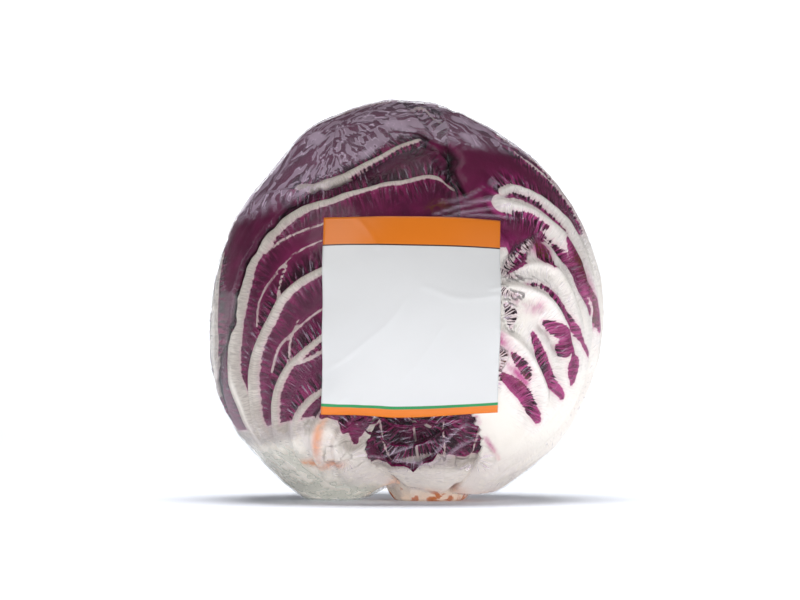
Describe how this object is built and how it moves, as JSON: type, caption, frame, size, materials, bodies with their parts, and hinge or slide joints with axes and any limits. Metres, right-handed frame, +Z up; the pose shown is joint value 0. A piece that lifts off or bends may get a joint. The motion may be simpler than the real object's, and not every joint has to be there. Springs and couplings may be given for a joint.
{
  "type": "radicchio head",
  "caption": "Round head of red chicory with pale-ribbed purple leaves, shrink-wrapped in clear film with a plain square label, standing on its cut stem.",
  "frame": {"origin": "centre of the cut face of the stem, which the head stands on", "axes": "+Z up, and -Y out of the front, where the label is"},
  "size_m": [0.1329, 0.1281, 0.1361],
  "materials": {
    "leaf": "fresh leaf, dark purple-red blade with cream-white ribs, slightly waxy",
    "heart": "packed inner leaves, dark purple-red",
    "stem": "cut stem, dry and browned",
    "film": "clear shrink film, glossy, hazy where it wrinkles",
    "label": "satin off-white film label with plain orange bands at its head and foot"
  },
  "bodies": {
    "root": {"wrapper_leaf_crown": "leaf", "wrapper_leaf_right": "leaf", "wrapper_leaf_left": "leaf", "inner_leaf_front": "leaf", "wrapper_leaf_back_right": "leaf", "wrapper_leaf_back": "leaf", "inner_leaf_crown": "leaf", "inner_leaf_front_left": "leaf", "inner_leaf_front_right": "leaf", "heart": "heart", "stem": "stem", "film_wrap": "film", "front_label": "label"}
  },
  "joints": []
}
